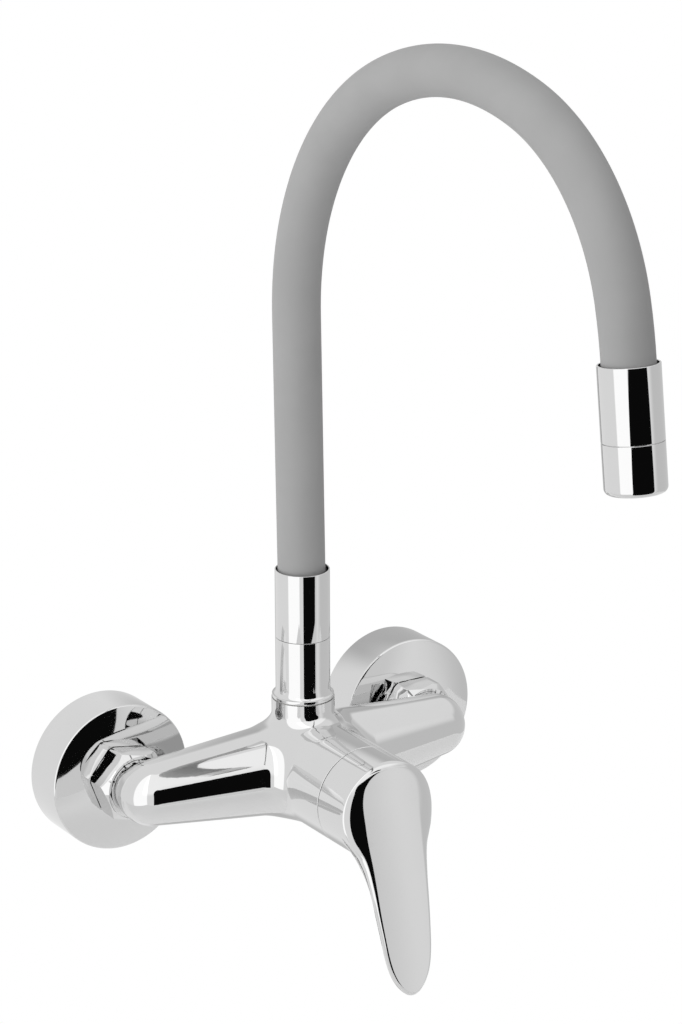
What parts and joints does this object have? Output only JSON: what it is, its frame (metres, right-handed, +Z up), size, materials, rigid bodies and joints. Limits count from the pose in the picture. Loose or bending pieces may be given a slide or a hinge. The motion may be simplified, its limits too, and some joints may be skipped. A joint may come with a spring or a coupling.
{
  "type": "flexible kitchen tap",
  "caption": "Wall-mounted single-lever kitchen mixer in chrome: two covered eccentric inlets, a tapered valve body, a hanging paddle lever and a bendable grey hose spout in a high arch.",
  "frame": {"origin": "on the wall face, midway between the two inlets, at the height of the valve body's axis", "axes": "+X along the wall to the right inlet, +Y into the wall, +Z up"},
  "size_m": [0.2158, 0.3133, 0.4107],
  "materials": {
    "chrome": "bright chrome plating",
    "brass": "machined, bare",
    "steel": "bright stainless steel",
    "silicone": "smooth satin grey silicone",
    "black_rubber": "smooth black",
    "ceramic": "lapped alumina",
    "white_plastic": "smooth moulded",
    "grey_plastic": "smooth grey"
  },
  "bodies": {
    "body": {"left_s_union": "chrome", "left_rosette": "chrome", "left_union_gasket": "black_rubber", "left_union_nut": "chrome", "left_inlet_nipple": "brass", "right_s_union": "chrome", "right_rosette": "chrome", "right_union_gasket": "black_rubber", "right_union_nut": "chrome", "right_inlet_nipple": "brass", "valve_body": "chrome", "cartridge_base": "white_plastic", "cartridge_seals": "black_rubber", "fixed_disc": "ceramic", "cartridge_casing": "white_plastic", "cartridge_nut": "brass", "cartridge_cover": "steel", "spout_lock_screw": "steel"},
    "rotor": {"cartridge_rotor": "white_plastic", "stem_pin": "steel"},
    "discs": {"moving_disc": "ceramic", "disc_carrier": "white_plastic"},
    "handle": {"lever": "chrome", "cartridge_stem": "steel", "lever_screw": "steel", "screw_plug": "grey_plastic"},
    "spout": {"spout_base": "chrome", "spout_o_rings": "black_rubber", "spout_washer": "white_plastic", "hose_sleeve": "chrome", "lower_hose_fitting": "brass", "hose_riser": "silicone", "gooseneck_riser": "steel", "water_hose_riser": "white_plastic", "hose_arch": "silicone", "gooseneck_arch": "steel", "water_hose_arch": "white_plastic"},
    "outlet": {"hose_drop": "silicone", "gooseneck_drop": "steel", "water_hose_drop": "white_plastic", "outlet_fitting": "brass", "end_sleeve": "chrome", "aerator_ring": "chrome", "aerator_insert": "white_plastic", "aerator_strainer": "steel", "aerator_washer": "black_rubber"}
  },
  "joints": [
    {"name": "spout_swivel", "type": "hinge", "parent": "body", "child": "spout", "pos_m": [0, -0.0497, 0.0261], "axis": [0, 0, 1], "range_deg": [-95, 95]},
    {"name": "hose_bend", "type": "hinge", "parent": "spout", "child": "outlet", "pos_m": [0, -0.1714, 0.3234], "axis": [-1, 0, 0], "range_deg": [-25, 25], "deforming": ["hose_arch", "gooseneck_arch", "water_hose_arch"]},
    {"name": "lever_turn", "type": "hinge", "parent": "body", "child": "rotor", "pos_m": [0, -0.076, 0], "axis": [0, -1, 0], "range_deg": [-45, 45]},
    {"name": "lever_lift", "type": "hinge", "parent": "rotor", "child": "handle", "pos_m": [0, -0.076, 0], "axis": [-1, 0, 0], "range_deg": [0, 20]},
    {"name": "disc_slide", "type": "slide", "parent": "rotor", "child": "discs", "axis": [0, 0, 1], "range_m": [-0.0032, 0]}
  ],
  "couplings": [
    {"joint": "disc_slide", "follows": "lever_lift", "m_per_rad": -0.00811}
  ]
}
